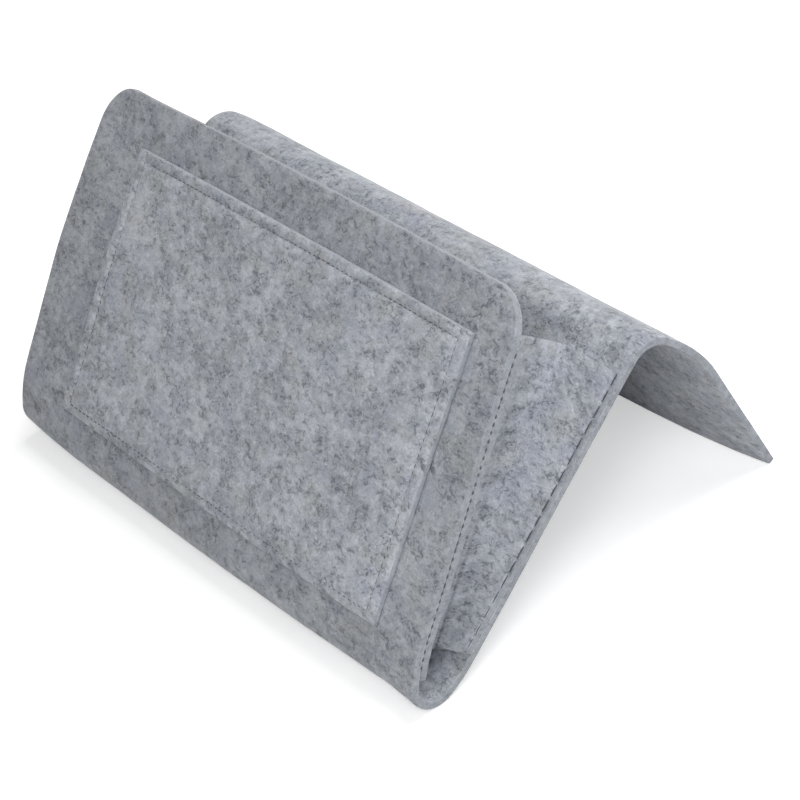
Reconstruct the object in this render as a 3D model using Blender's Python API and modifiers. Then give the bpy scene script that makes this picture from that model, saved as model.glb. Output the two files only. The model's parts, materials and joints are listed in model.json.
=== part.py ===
"""A felt armrest organizer, standing like a tent on its bottom fold and on the edge of its flap.

One long sheet of felt runs from the top of the front panel down to the bottom fold, up the back
panel, over the ridge and down the flap. A patch pocket is sewn on the front, and a felt gusset
closes each end of the main pocket.

Metres, +Z up, +X along the organizer, -Y on the front. The origin is under the middle, on the floor.
A place on the sheet is (x, s, rise): s runs along the sheet's middle layer from the front panel's
top edge, and rise is the height off that layer, positive towards the inside of the main pocket.
"""

import math

import bmesh
import bpy
from mathutils import Vector

# The felt
LENGTH = 0.330
FELT = 0.0032
CLEARANCE = 0.0003

# The main sheet's profile, from the front panel's top edge to the flap's edge
FRONT_RUN = 0.143
FRONT_EASE = 0.024
FOLD_RADIUS = 0.0095
BACK_EASE = 0.014
BACK_RUN = 0.139
RIDGE_RADIUS = 0.014
FLAP_EASE = 0.034
FLAP_RUN = 0.059
FRONT_EASE_TURN = math.radians(20.4)
FOLD_TURN = math.radians(129.3)
BACK_EASE_TURN = math.radians(14.4)
RIDGE_TURN = math.radians(-79.2)
FLAP_EASE_TURN = math.radians(-30.2)
FRONT_CORNER_RADIUS = 0.020

# The patch pocket on the front face
PATCH_BELOW_TOP = 0.0225
PATCH_HEIGHT = 0.128
PATCH_LEFT_MARGIN = 0.0445
PATCH_RIGHT_MARGIN = 0.0225

# The gussets: a flange on each panel and a soft web between them
GUSSET_BELOW_TOP = 0.022
GUSSET_FRONT_HEIGHT = 0.128
FRONT_FLANGE_WIDTH = 0.016
FRONT_FLANGE_TAIL = 0.010
REAR_FLANGE_TOP_WIDTH = 0.038
REAR_FLANGE_LOW_WIDTH = 0.011
REAR_FLANGE_BELOW_RIDGE = 0.007
REAR_FLANGE_ABOVE_FOLD = 0.007
WEB_LIP = 0.001
FRONT_BEND_REACH = 0.010
REAR_BEND_REACH = 0.014

# The thread
THREAD = 0.0007
STITCH_PITCH = 0.006
STITCH_RISE = 0.0004
PATCH_SEAM_INSET = 0.0035
HEM_BELOW_EDGE = 0.0040
FRONT_SEAM_INSET = 0.006
REAR_SEAM_INSET = 0.0025

# How finely a bend is divided
MOST_TURN_PER_ROW = math.radians(9)
CORNER_ROWS = 6
FLANGE_ROWS = 8
WEB_ROWS = 8
WEB_COLUMNS = 10

# Colours as seen in the photo, in sRGB
FELT_GREY = (0.60, 0.62, 0.64)
PATCH_GREY = (0.62, 0.63, 0.65)
GUSSET_GREY = (0.58, 0.61, 0.63)
FLAP_GREY = (0.63, 0.65, 0.66)
THREAD_GREY = (0.38, 0.40, 0.42)
FELT_ROUGHNESS = 0.95
THREAD_ROUGHNESS = 0.70

SEGMENTS = [
    ("front run", FRONT_RUN, 0.0),
    ("front ease", FRONT_EASE, FRONT_EASE_TURN),
    ("fold", FOLD_RADIUS * FOLD_TURN, FOLD_TURN),
    ("back ease", BACK_EASE, BACK_EASE_TURN),
    ("back run", BACK_RUN, 0.0),
    ("ridge", RIDGE_RADIUS * -RIDGE_TURN, RIDGE_TURN),
    ("flap ease", FLAP_EASE, FLAP_EASE_TURN),
    ("flap run", FLAP_RUN, 0.0),
]


def segment_starts():
    """Where each segment starts along the sheet, by name, and where the sheet ends."""
    starts = {}
    s = 0.0
    for name, length, _ in SEGMENTS:
        starts[name] = s
        s += length
    starts["end"] = s
    return starts


START = segment_starts()


def along(point, heading, length, turn):
    """The point and heading after a stretch of sheet that bends evenly by turn."""
    if abs(turn) < 1e-9:
        step = Vector((0.0, math.cos(heading), math.sin(heading))) * length
    else:
        radius = length / turn
        after = heading + turn
        step = Vector((0.0, math.sin(after) - math.sin(heading), math.cos(heading) - math.cos(after))) * radius
    return point + step, heading + turn


def middle_layer(s, start, heading):
    """The sheet's middle layer at s, as a point at x = 0 and its heading."""
    point = start
    for name, length, turn in SEGMENTS:
        done = min(max(s - START[name], 0.0), length)
        point, heading = along(point, heading, done, turn * done / length)
    return point, heading


def normal_of(heading):
    """The direction off the sheet on the pocket's inner side."""
    return Vector((0.0, -math.sin(heading), math.cos(heading)))


def standing_heading():
    """The front panel's heading for which the bottom fold and the flap's inner edge both touch the floor."""
    origin = Vector((0.0, 0.0, 0.0))
    fold_start, fold_heading = middle_layer(START["fold"], origin, 0.0)
    fold_centre = fold_start + normal_of(fold_heading) * FOLD_RADIUS
    flap_end, flap_heading = middle_layer(START["end"], origin, 0.0)
    flap_corner = flap_end - normal_of(flap_heading) * (FELT / 2)
    reach = flap_corner - fold_centre
    slope = math.atan2(reach.z, reach.y)
    drop = math.asin((FOLD_RADIUS + FELT / 2) / reach.length)
    return -(slope + drop)


START_HEADING = standing_heading()


def floor_offset():
    """Moves the sheet so that the flap's inner edge is on the floor."""
    flap_end, flap_heading = middle_layer(START["end"], Vector((0.0, 0.0, 0.0)), START_HEADING)
    corner = flap_end - normal_of(flap_heading) * (FELT / 2)
    return Vector((0.0, 0.0, -corner.z))


START_POINT = floor_offset()


def on_sheet(x, s, rise=0.0):
    """A place on or off the sheet, before the organizer is centred."""
    point, heading = middle_layer(s, START_POINT, START_HEADING)
    return point + Vector((x, 0.0, 0.0)) + normal_of(heading) * rise


def rows_between(first, last):
    """Places along the sheet from first to last, close enough together to follow its bends."""
    rows = [first]
    for name, length, turn in SEGMENTS:
        low = max(first, START[name])
        high = min(last, START[name] + length)
        if high - low < CLEARANCE:
            continue
        share = (high - low) / length
        count = max(1, math.ceil(abs(turn) * share / MOST_TURN_PER_ROW))
        rows += [low + (high - low) * (i + 1) / count for i in range(count)]
    return rows


def shares(count):
    """Even steps from 0 to 1."""
    return [i / count for i in range(count + 1)]


def linear(value):
    """One sRGB channel as linear light."""
    return value / 12.92 if value <= 0.04045 else ((value + 0.055) / 1.055) ** 2.4


def own_material(name, colour, roughness):
    material = bpy.data.materials.new(name)
    material.use_nodes = True
    shader = material.node_tree.nodes["Principled BSDF"]
    shader.inputs["Base Color"].default_value = (*map(linear, colour), 1.0)
    shader.inputs["Roughness"].default_value = roughness
    shader.inputs["Metallic"].default_value = 0.0
    material.diffuse_color = (*map(linear, colour), 1.0)
    return material


def add_part(name, bm, parent, colour, roughness):
    """Puts a mesh, made in the organizer's own coordinates, under the empty that carries it."""
    bmesh.ops.translate(bm, verts=bm.verts, vec=-parent.matrix_world.translation)
    mesh = bpy.data.meshes.new(name)
    bm.to_mesh(mesh)
    bm.free()
    part = bpy.data.objects.new(name, mesh)
    part.parent = parent
    mesh.materials.append(own_material(name + "_material", colour, roughness))
    PARTS.objects.link(part)
    return part


def felt_piece(name, rows, columns, place, parent, colour):
    """A flat grid laid where place(row, column) says, and given the felt's thickness."""
    bm = bmesh.new()
    bmesh.ops.create_grid(bm, x_segments=len(columns) - 1, y_segments=len(rows) - 1, size=1.0)
    for vert in bm.verts:
        column = columns[round((vert.co.x + 1) / 2 * (len(columns) - 1))]
        row = rows[round((vert.co.y + 1) / 2 * (len(rows) - 1))]
        vert.co = place(row, column)
    part = add_part(name, bm, parent, colour, FELT_ROUGHNESS)
    part.data.shade_smooth()
    thickness = part.modifiers.new("felt", "SOLIDIFY")
    thickness.thickness = FELT
    thickness.offset = 0.0
    thickness.use_even_offset = True
    part.data.set_sharp_from_angle(angle=math.radians(30))
    return part


def sheet_piece(name, first, last, parent, colour, half_width=lambda s: LENGTH / 2):
    """One stretch of the main sheet, with a hair's gap to the stretches beside it."""
    low = first + (CLEARANCE / 2 if first > 0 else 0.0)
    high = last - (CLEARANCE / 2 if last < START["end"] else 0.0)
    rows = rows_between(low, high)
    if first == 0:
        rows = [FRONT_CORNER_RADIUS * (1 - math.cos(math.pi / 2 * t)) for t in shares(CORNER_ROWS)] + rows[1:]
    return felt_piece(name, rows, [-1, 1], lambda s, side: on_sheet(side * half_width(s), s), parent, colour)


def front_half_width(s):
    """Half the front panel's width at s: its two top corners are round."""
    short = max(FRONT_CORNER_RADIUS - s, 0.0)
    return LENGTH / 2 - FRONT_CORNER_RADIUS + math.sqrt(FRONT_CORNER_RADIUS**2 - short**2)


def main_sheet():
    sheet_piece("front_panel", 0.0, START["fold"], FRONT_HINGE, FELT_GREY, front_half_width)
    sheet_piece("bottom_fold", START["fold"], START["back ease"], STAND, FELT_GREY)
    sheet_piece("back_panel", START["back ease"], START["ridge"], STAND, FELT_GREY)
    sheet_piece("ridge_bend", START["ridge"], START["flap ease"], STAND, FLAP_GREY)
    sheet_piece("tuck_flap", START["flap ease"], START["end"], FLAP_HINGE, FLAP_GREY)


# A layer of felt that lies on the main sheet, inside the pocket or on the front face
LAYER_RISE = FELT + CLEARANCE
PATCH_LEFT = -LENGTH / 2 + PATCH_LEFT_MARGIN
PATCH_RIGHT = LENGTH / 2 - PATCH_RIGHT_MARGIN
PATCH_LOW = PATCH_BELOW_TOP + PATCH_HEIGHT


def patch_pocket():
    """A felt rectangle flat on the front face, open along its top edge."""
    rows = rows_between(PATCH_BELOW_TOP, PATCH_LOW)
    edges = [PATCH_LEFT, PATCH_RIGHT]
    felt_piece("patch_pocket", rows, edges, lambda s, x: on_sheet(x, s, -LAYER_RISE), FRONT_HINGE, PATCH_GREY)


def blend(a, b, share):
    return a + (b - a) * share


def front_flange_place(side, down, inward):
    """down runs from the flange's top to its low end, inward from its cut edge to the bend."""
    low = GUSSET_BELOW_TOP + GUSSET_FRONT_HEIGHT + FRONT_FLANGE_TAIL * (1 - inward)
    s = blend(GUSSET_BELOW_TOP, low, down)
    return on_sheet(side * (LENGTH / 2 - FRONT_FLANGE_WIDTH * inward), s, LAYER_RISE)


def rear_flange_place(side, down, inward):
    top = START["ridge"] - REAR_FLANGE_BELOW_RIDGE
    low = START["back run"] + REAR_FLANGE_ABOVE_FOLD
    width = blend(REAR_FLANGE_TOP_WIDTH, REAR_FLANGE_LOW_WIDTH, down)
    return on_sheet(side * (LENGTH / 2 - width * inward), blend(top, low, down), LAYER_RISE)


def web_place(side, down, across):
    """A soft curve from the front flange's bend to the rear flange's, leaving each flange inwards.

    across runs from 0 to 1 along the curve. Before 0 and after 1 are the web's two flat edges.
    """
    inwards = Vector((-side, 0.0, 0.0))
    start = front_flange_place(side, down, 1.0) + inwards * CLEARANCE
    end = rear_flange_place(side, down, 1.0) + inwards * CLEARANCE
    if across < 0:
        return start
    if across > 1:
        return end
    start += inwards * WEB_LIP
    end += inwards * WEB_LIP
    after_start = start + inwards * FRONT_BEND_REACH
    before_end = end + inwards * REAR_BEND_REACH
    near = start * (1 - across) ** 3 + after_start * 3 * across * (1 - across) ** 2
    far = before_end * 3 * across**2 * (1 - across) + end * across**3
    return near + far


def gusset(side, side_name):
    """One end of the main pocket. Its front flange moves with the front panel."""
    front = f"gusset_{side_name}_front_flange"
    web = f"gusset_{side_name}_web"
    rear = f"gusset_{side_name}_rear_flange"
    down = shares(FLANGE_ROWS)
    felt_piece(front, down, [0, 1], lambda d, i: front_flange_place(side, d, i), FRONT_HINGE, GUSSET_GREY)
    felt_piece(rear, [0, 1], [0, 1], lambda d, i: rear_flange_place(side, d, i), STAND, GUSSET_GREY)
    across = [-1] + shares(WEB_COLUMNS) + [2]
    felt_piece(web, shares(WEB_ROWS), across, lambda d, a: web_place(side, d, a), STAND, GUSSET_GREY)


def thread_points(corners, rise):
    """A run of thread along corners (x, s): it rises over each stitch and dips to the felt between."""
    outward = math.copysign(1, rise)
    points = []
    for first, last in zip(corners, corners[1:]):
        length = math.hypot(last[0] - first[0], last[1] - first[1])
        steps = 2 * max(1, round(length / STITCH_PITCH))
        for i in range(steps + 1):
            x, s = (blend(first[k], last[k], i / steps) for k in (0, 1))
            lift = CLEARANCE + THREAD / 2 + (STITCH_RISE if i % 2 else 0.0)
            if i > 0 or not points:
                points.append(on_sheet(x, s, rise + outward * lift))
    return points


def seam(name, corners, rise, parent):
    """One unbroken thread, on the felt whose surface is at rise."""
    curve = bpy.data.curves.new(name, "CURVE")
    curve.dimensions = "3D"
    curve.bevel_depth = THREAD / 2
    curve.bevel_resolution = 1
    curve.use_fill_caps = True
    points = thread_points(corners, rise)
    spline = curve.splines.new("POLY")
    spline.points.add(len(points) - 1)
    for knot, point in zip(spline.points, points):
        knot.co = (*(point - parent.matrix_world.translation), 1.0)
    part = bpy.data.objects.new(name, curve)
    part.parent = parent
    curve.materials.append(own_material(name + "_material", THREAD_GREY, THREAD_ROUGHNESS))
    PARTS.objects.link(part)


def patch_seams():
    """A U of stitches round the patch's closed sides, and a line under its open edge."""
    face = -(LAYER_RISE + FELT / 2)
    left = PATCH_LEFT + PATCH_SEAM_INSET
    right = PATCH_RIGHT - PATCH_SEAM_INSET
    low = PATCH_LOW - PATCH_SEAM_INSET
    sides = [(left, PATCH_BELOW_TOP), (left, low), (right, low), (right, PATCH_BELOW_TOP)]
    seam("patch_seam", sides, face, FRONT_HINGE)
    hem = PATCH_BELOW_TOP + HEM_BELOW_EDGE
    seam("patch_hem_seam", [(left + STITCH_PITCH / 2, hem), (right - STITCH_PITCH / 2, hem)], face, FRONT_HINGE)


def gusset_seams(side, side_name):
    """The front seam shows on the front face, and the rear seam inside, on the rear flange."""
    x = side * (LENGTH / 2 - FRONT_SEAM_INSET)
    low = GUSSET_BELOW_TOP + GUSSET_FRONT_HEIGHT
    seam(f"front_seam_{side_name}", [(x, GUSSET_BELOW_TOP), (x, low)], -FELT / 2, FRONT_HINGE)
    x = side * (LENGTH / 2 - REAR_SEAM_INSET)
    top = START["ridge"] - REAR_FLANGE_BELOW_RIDGE
    low = START["back run"] + REAR_FLANGE_ABOVE_FOLD
    seam(f"rear_seam_{side_name}", [(x, top), (x, low)], LAYER_RISE + FELT / 2, STAND)


def add_empty(name, place, parent):
    empty = bpy.data.objects.new(name, None)
    empty.location = place - parent.location if parent else place
    empty.parent = parent
    empty.empty_display_size = FOLD_RADIUS
    PARTS.objects.link(empty)
    bpy.context.view_layer.update()
    return empty


def bend_middle(name):
    """The middle of a bend, on the sheet's middle layer."""
    length = dict((segment, size) for segment, size, _ in SEGMENTS)[name]
    return on_sheet(0.0, START[name] + length / 2)


def corners_of(part):
    """Every corner of a part's finished mesh, in the world."""
    shown = part.evaluated_get(bpy.context.evaluated_depsgraph_get())
    mesh = shown.to_mesh()
    corners = [part.matrix_world @ vert.co for vert in mesh.vertices]
    shown.to_mesh_clear()
    return corners


def centre_on_origin():
    """Moves the whole organizer so that the middle of its footprint is over the origin, on the floor."""
    bpy.context.view_layer.update()
    corners = [corner for part in PARTS.objects if part.type != "EMPTY" for corner in corners_of(part)]
    low_y = min(corner.y for corner in corners)
    high_y = max(corner.y for corner in corners)
    STAND.location = Vector((0.0, -(low_y + high_y) / 2, -min(corner.z for corner in corners)))
    bpy.context.view_layer.update()


for old in list(bpy.data.objects):
    bpy.data.objects.remove(old)

PARTS = bpy.data.collections.new("armrest_organizer")
bpy.context.scene.collection.children.link(PARTS)
STAND = add_empty("stand", Vector((0.0, 0.0, 0.0)), None)
FRONT_HINGE = add_empty("front_hinge", bend_middle("fold"), STAND)
FLAP_HINGE = add_empty("flap_hinge", bend_middle("ridge"), STAND)

main_sheet()
patch_pocket()
patch_seams()
for end, end_name in ((-1, "left"), (1, "right")):
    gusset(end, end_name)
    gusset_seams(end, end_name)
centre_on_origin()

for hinge in (FRONT_HINGE, FLAP_HINGE):
    print(hinge.name, [round(c, 5) for c in hinge.matrix_world.translation])
print("standing heading", round(math.degrees(START_HEADING), 2))
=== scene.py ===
# %% [markdown]
# # A sofa armrest organizer in grey felt
#
# The real organizer is cut from stiff grey felt a little over three millimetres thick. One long sheet
# makes the front of the pocket, the fold under it, the back, the ridge that lies over the armrest and
# the flap that is tucked down beside the cushion. A patch pocket is sewn on the front, and a folded
# strip of the same felt, the gusset, closes each end of the main pocket.
#
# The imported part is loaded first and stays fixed. Everything made here is laid over it, in metres,
# in the same coordinates.

import json
import math
import random

import bmesh
import bpy
from mathutils import Matrix, Quaternion, Vector, noise


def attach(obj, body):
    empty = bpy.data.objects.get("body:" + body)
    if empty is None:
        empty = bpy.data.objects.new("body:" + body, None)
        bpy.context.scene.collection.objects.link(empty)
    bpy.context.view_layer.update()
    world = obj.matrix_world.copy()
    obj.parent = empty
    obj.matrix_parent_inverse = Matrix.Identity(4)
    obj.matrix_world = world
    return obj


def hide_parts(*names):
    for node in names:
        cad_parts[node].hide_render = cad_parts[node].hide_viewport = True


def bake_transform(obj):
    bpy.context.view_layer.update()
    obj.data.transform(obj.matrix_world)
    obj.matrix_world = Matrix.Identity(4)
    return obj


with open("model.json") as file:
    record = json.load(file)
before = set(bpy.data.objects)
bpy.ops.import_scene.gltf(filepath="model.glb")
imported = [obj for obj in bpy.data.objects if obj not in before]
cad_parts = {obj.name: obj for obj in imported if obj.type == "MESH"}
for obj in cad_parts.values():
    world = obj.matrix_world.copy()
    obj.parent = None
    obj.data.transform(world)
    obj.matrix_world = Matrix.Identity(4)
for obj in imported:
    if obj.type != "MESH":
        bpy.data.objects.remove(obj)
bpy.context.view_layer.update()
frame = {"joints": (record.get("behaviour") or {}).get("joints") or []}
JOINT_PLACE = {joint["name"]: Vector(joint["pos_m"]) for joint in frame["joints"]}

# %% [markdown]
# ## The sheet's side view
#
# Seen from its end, the long sheet is one line: straight runs joined by bends. A bend is given by its
# length and by how far it turns, so the line never grows or shrinks, just as felt doesn't. The line
# could be drawn as a curve object, but a function that answers "where is the sheet after s metres?"
# is more useful, because every layer, seam and stitch can ask it.

# %% The lengths and turns of the sheet's runs and bends
LENGTH = 0.330
FELT = 0.0032
GAP = 0.0003
FOLD_RADIUS = 0.0095
RIDGE_RADIUS = 0.014
FOLD_TURN = math.radians(129.3)
RIDGE_TURN = math.radians(-79.2)
SEGMENTS = [
    ("front run", 0.143, 0.0),
    ("front ease", 0.024, math.radians(20.4)),
    ("fold", FOLD_RADIUS * FOLD_TURN, FOLD_TURN),
    ("back ease", 0.014, math.radians(14.4)),
    ("back run", 0.139, 0.0),
    ("ridge", -RIDGE_RADIUS * RIDGE_TURN, RIDGE_TURN),
    ("flap ease", 0.034, math.radians(-30.2)),
    ("flap run", 0.059, 0.0),
]
SIZE = {name: length for name, length, _ in SEGMENTS}
START = {}
for name, length, _ in SEGMENTS:
    START[name] = sum(SIZE[done] for done in START)
START["end"] = sum(SIZE.values())
HALF = LENGTH / 2
print("flat length of the sheet", round(START["end"] * 1000, 1), "mm")


# %% Where the sheet's middle layer is
def along(point, heading, length, turn):
    """The point and heading after a stretch that bends evenly by turn."""
    if abs(turn) < 1e-9:
        return point + Vector((0, math.cos(heading), math.sin(heading))) * length, heading
    after = heading + turn
    step = Vector((0, math.sin(after) - math.sin(heading), math.cos(heading) - math.cos(after)))
    return point + step * (length / turn), after


def middle_layer(s, point, heading):
    """The middle layer s metres from the front panel's top edge, and its heading there."""
    for name, length, turn in SEGMENTS:
        done = min(max(s - START[name], 0.0), length)
        point, heading = along(point, heading, done, turn * done / length)
    return point, heading


def off_sheet(heading):
    """The direction off the sheet on the pocket's inner side."""
    return Vector((0, -math.sin(heading), math.cos(heading)))


# %% [markdown]
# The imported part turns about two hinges, one in the middle of the bottom fold and one in the middle of
# the ridge. Both lie on this line, so turning the line until its two bends land on the two hinges puts
# the felt exactly where the part is, with no fitting.

# %% Lay the side view on the two hinges
FOLD_HINGE = JOINT_PLACE["front_fold"]
RIDGE_HINGE = JOINT_PLACE["flap_ridge"]
ORIGIN = Vector((0, 0, 0))


def bend_middle(name, point=ORIGIN, heading=0.0):
    return middle_layer(START[name] + SIZE[name] / 2, point, heading)[0]


own_chord = bend_middle("ridge") - bend_middle("fold")
real_chord = RIDGE_HINGE - FOLD_HINGE
START_HEADING = math.atan2(real_chord.z, real_chord.y) - math.atan2(own_chord.z, own_chord.y)
START_POINT = FOLD_HINGE - Quaternion((1, 0, 0), START_HEADING) @ bend_middle("fold")
missed = bend_middle("ridge", START_POINT, START_HEADING) - RIDGE_HINGE
print("front panel heading", round(math.degrees(START_HEADING), 2), "degrees")
print("the ridge misses its hinge by", missed.length)

# %% [markdown]
# ## How the felt has settled
#
# A perfectly straight sheet looks like card. On the real one the front panel's top edge bows a little
# into the pocket, the fold swells forward, most of all at its left end, and the left end of the ridge
# stands a few millimetres higher than the right. The flap's free edge bows towards the armrest. A
# lattice or sculpting could shape one layer. Here these few millimetres are added to every place on
# the sheet instead, so all the layers and seams move together and stay in touch.

# %% The bows and swells
# A pair says where a bow starts and where it is full, or where it starts to fade and where it is gone.
# Those across the sheet are in shares of half its length, and those down the sheet in metres.
TOP_BOW = 0.0040
TOP_CROWN = 0.0009
TOP_DROP = 0.0010
TOP_FADES = (0.0, 0.095)
LEFT_CURL = 0.0045
LEFT_CURL_ZONE = (0.72, 1.05)
RIGHT_CURL = 0.0015
RIGHT_CURL_ZONE = (0.80, 1.0)
CURL_FADES = (-0.01, 0.045)
LEFT_SWELL = 0.0040
LEFT_SWELL_ZONE = (0.35, 1.0)
LEFT_SWELL_GROWS = (0.022, 0.095)
LEFT_SWELL_FADES = (START["fold"] + 0.005, START["back ease"] + 0.010)
FOLD_SWELL = 0.0043
SWELL_REACH = 0.038
SWELL_MIDDLE = -0.040
SWELL_RIGHT_REACH = 0.205
SWELL_LEFT_REACH = 0.125
LOW_CORNER_SWELL = 0.0016
LOW_CORNER_ZONE = (0.86, 1.0)
LOW_CORNER_BELOW = 0.008
LOW_CORNER_REACH = 0.018
RIDGE_RISE = 0.0010
RIDGE_LEFT_RISE = 0.0062
RIDGE_WAY_UP = Vector((0, -0.3, 0.9))
FLAP_SWING = 0.0006
FLAP_BOW = 0.0070
FLAP_BOW_ZONE = (START["flap ease"], START["end"] + 0.02)


def smooth(value, low, high):
    """0 below low, 1 above high and an even curve between."""
    t = min(max((value - low) / (high - low), 0.0), 1.0)
    return t * t * (3 - 2 * t)


def fold_swell(x):
    """How much the fold swells forward: 1 left of the middle, and less towards each end."""
    if x > SWELL_MIDDLE:
        return max(0.0, 1 - ((x - SWELL_MIDDLE) / SWELL_RIGHT_REACH) ** 2.2)
    return max(0.0, 1 - ((SWELL_MIDDLE - x) / SWELL_LEFT_REACH) ** 2.6)


def front_settled(across, s, pocketwards, up):
    """The front panel's top edge bows, its corners curl in, and its left part swells forward."""
    middle = 1 - min(across * across, 1.0)
    near_top = 1 - smooth(s, *TOP_FADES)
    move = pocketwards * (TOP_BOW * middle * near_top) + up * ((TOP_CROWN * middle - TOP_DROP) * near_top)
    curl = LEFT_CURL * smooth(-across, *LEFT_CURL_ZONE) + RIGHT_CURL * smooth(across, *RIGHT_CURL_ZONE)
    move += pocketwards * curl * (1 - smooth(s, *CURL_FADES))
    swelling = smooth(s, *LEFT_SWELL_GROWS) * (1 - smooth(s, *LEFT_SWELL_FADES))
    return move - pocketwards * LEFT_SWELL * smooth(-across, *LEFT_SWELL_ZONE) * swelling


def settled(x, s):
    """How far a place on the sheet has moved from the straight side view."""
    across = x / HALF
    pocketwards = off_sheet(START_HEADING)
    up = Vector((0, -math.cos(START_HEADING), -math.sin(START_HEADING)))
    move = front_settled(across, s, pocketwards, up)
    below = s - START["fold"]
    move.y -= FOLD_SWELL * fold_swell(x) * math.exp(-((below / SWELL_REACH) ** 2))
    near_corner = math.exp(-(((below - LOW_CORNER_BELOW) / LOW_CORNER_REACH) ** 2))
    move.y -= LOW_CORNER_SWELL * (smooth(across, *LOW_CORNER_ZONE) * near_corner)
    rising = smooth(s, START["back run"], START["ridge"])
    falling = 1 - smooth(s, START["flap ease"], START["end"])
    lift = RIDGE_RISE + RIDGE_LEFT_RISE * (0.5 - across / 2)
    move += RIDGE_WAY_UP * (lift * rising * falling)
    move.y += FLAP_SWING * smooth(s, START["ridge"], START["flap run"])
    move.y -= FLAP_BOW * (1 - min(across**4, 1.0)) * smooth(s, *FLAP_BOW_ZONE)
    return move


def on_sheet(x, s, rise=0.0):
    """A place x along the organizer, s down the sheet and rise off its middle layer."""
    point, heading = middle_layer(s, START_POINT, START_HEADING)
    return point + Vector((x, 0, 0)) + off_sheet(heading) * rise + settled(x, s)


RIDGE_MIDDLE = START["ridge"] + SIZE["ridge"] / 2
higher = (on_sheet(-HALF, RIDGE_MIDDLE) - on_sheet(HALF, RIDGE_MIDDLE)).z
print("the ridge's left end is", round(higher * 1000, 1), "mm higher")

# %% [markdown]
# ## Cutting felt
#
# Each felt piece is made as it is in a workshop: cut flat, then folded. The cut starts as a rectangle
# with its corners rounded, and is given the felt's thickness. The knife leaves a soft rim, so the rim
# is bevelled. Scoring it with plane cuts along and across gives enough faces to bend. Each flat place
# is kept in an attribute, and the materials read it, so that the fibres follow every bend.


# %% Cut a flat blank with rounded corners and a soft rim
RIM = 0.0005
MATING_RIM = 0.0002
RIM_STEPS = 3
CORNER_STEPS = 14
TOUCHING = 1e-6
SAME_PLACE = 1e-7


def blank(left, right, top, low, round_top=0.0):
    """Flat felt in the coordinates (x, s, rise), with its two top corners rounded where asked."""
    bm = bmesh.new()
    bmesh.ops.create_grid(bm, x_segments=1, y_segments=1, size=0.5)
    bmesh.ops.scale(bm, verts=bm.verts, vec=(right - left, low - top, 1))
    bmesh.ops.translate(bm, verts=bm.verts, vec=((left + right) / 2, (top + low) / 2, -FELT / 2))
    if round_top:
        corners = [vert for vert in bm.verts if vert.co.y < (top + low) / 2]
        bmesh.ops.bevel(
            bm,
            geom=corners,
            offset=round_top,
            segments=CORNER_STEPS,
            profile=0.5,
            affect="VERTICES",
            material=-1,
        )
    grown = bmesh.ops.extrude_face_region(bm, geom=bm.faces[:])["geom"]
    raised = [item for item in grown if isinstance(item, bmesh.types.BMVert)]
    bmesh.ops.translate(bm, verts=raised, vec=(0, 0, FELT))
    bmesh.ops.recalc_face_normals(bm, faces=bm.faces)
    return bm


def soften(bm, square_ends=(), outer=RIM, inner=RIM):
    """Bevels the rims of a blank. An end (a value of s) where it meets another stays square and sharp."""
    rims = {-1: [], 1: []}
    for edge in bm.edges:
        upright = [abs(face.normal.z) > 0.5 for face in edge.link_faces]
        if upright[0] == upright[1]:
            continue
        if any(all(abs(vert.co.y - s) < TOUCHING for vert in edge.verts) for s in square_ends):
            edge.smooth = False
        else:
            rims[1 if edge.verts[0].co.z > 0 else -1].append(edge)
    for side, offset in ((-1, outer), (1, inner)):
        bmesh.ops.bevel(
            bm,
            geom=rims[side],
            offset=offset,
            offset_type="OFFSET",
            segments=RIM_STEPS,
            profile=0.5,
            affect="EDGES",
            clamp_overlap=False,
            material=-1,
        )


def score(bm, axis, places):
    """Cuts the faces at each place along an axis (0 for x, 1 for s) without parting them."""
    for place in places:
        at = Vector((0, 0, 0))
        at[axis] = place
        across = Vector((0, 0, 0))
        across[axis] = 1
        everything = bm.verts[:] + bm.edges[:] + bm.faces[:]
        bmesh.ops.bisect_plane(bm, geom=everything, dist=SAME_PLACE, plane_co=at, plane_no=across)


# %% Even and bend-following score lines
COLUMN = 0.005
ROW = 0.005
MOST_TURN = math.radians(5)
GROOVE_SIDE = 0.0008
GROOVE_EDGE = 0.0018


def even(first, last, step):
    """Places between first and last, about a step apart, without the two ends."""
    count = max(1, round((last - first) / step))
    return [first + (last - first) * i / count for i in range(1, count)]


def rows_between(first, last):
    """Score lines down the sheet, closer together where it bends."""
    rows = []
    for name, length, turn in SEGMENTS:
        low, high = max(first, START[name]), min(last, START[name] + length)
        if high - low < GAP:
            continue
        turns = math.ceil(abs(turn) * (high - low) / length / MOST_TURN)
        count = max(1, turns, round((high - low) / ROW))
        rows += [low + (high - low) * i / count for i in range(count)]
    return [row for row in rows if row > first + GAP]


def beside(line):
    """Score lines on and close beside a seam, for the groove that its thread pulls."""
    return [line + step for step in (-GROOVE_EDGE, -GROOVE_SIDE, 0.0, GROOVE_SIDE, GROOVE_EDGE)]


print("rows in the whole sheet:", len(rows_between(0.0, START["end"])))

# %% [markdown]
# A seam is a line that the thread pulls into the felt. Before a blank is folded, the surface near each
# seam is pressed in, and the whole surface gets a faint unevenness. Noise could be left to the material
# as bump, but real height also shows in the outline and in the exported mesh.

# %% Press seams, roughen and fold a blank
GROOVE = 0.0008
GROOVE_REACH = 0.0010
UNEVEN = 0.00022
UNEVEN_GRAIN = 95.0
ON_A_FACE = FELT * 0.45


def off_line(x, s, line):
    """Distance from a seam, a run of corners (x, s)."""
    nearest = 1.0
    here = Vector((x, s))
    for first, last in zip(line, line[1:]):
        start, run = Vector(first), Vector(last) - Vector(first)
        share = min(max((here - start).dot(run) / run.length_squared, 0.0), 1.0)
        nearest = min(nearest, (here - start - run * share).length)
    return nearest


def as_cut(x, s, rise):
    """For a blank that is scored in its real shape."""
    return x, s, rise


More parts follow.
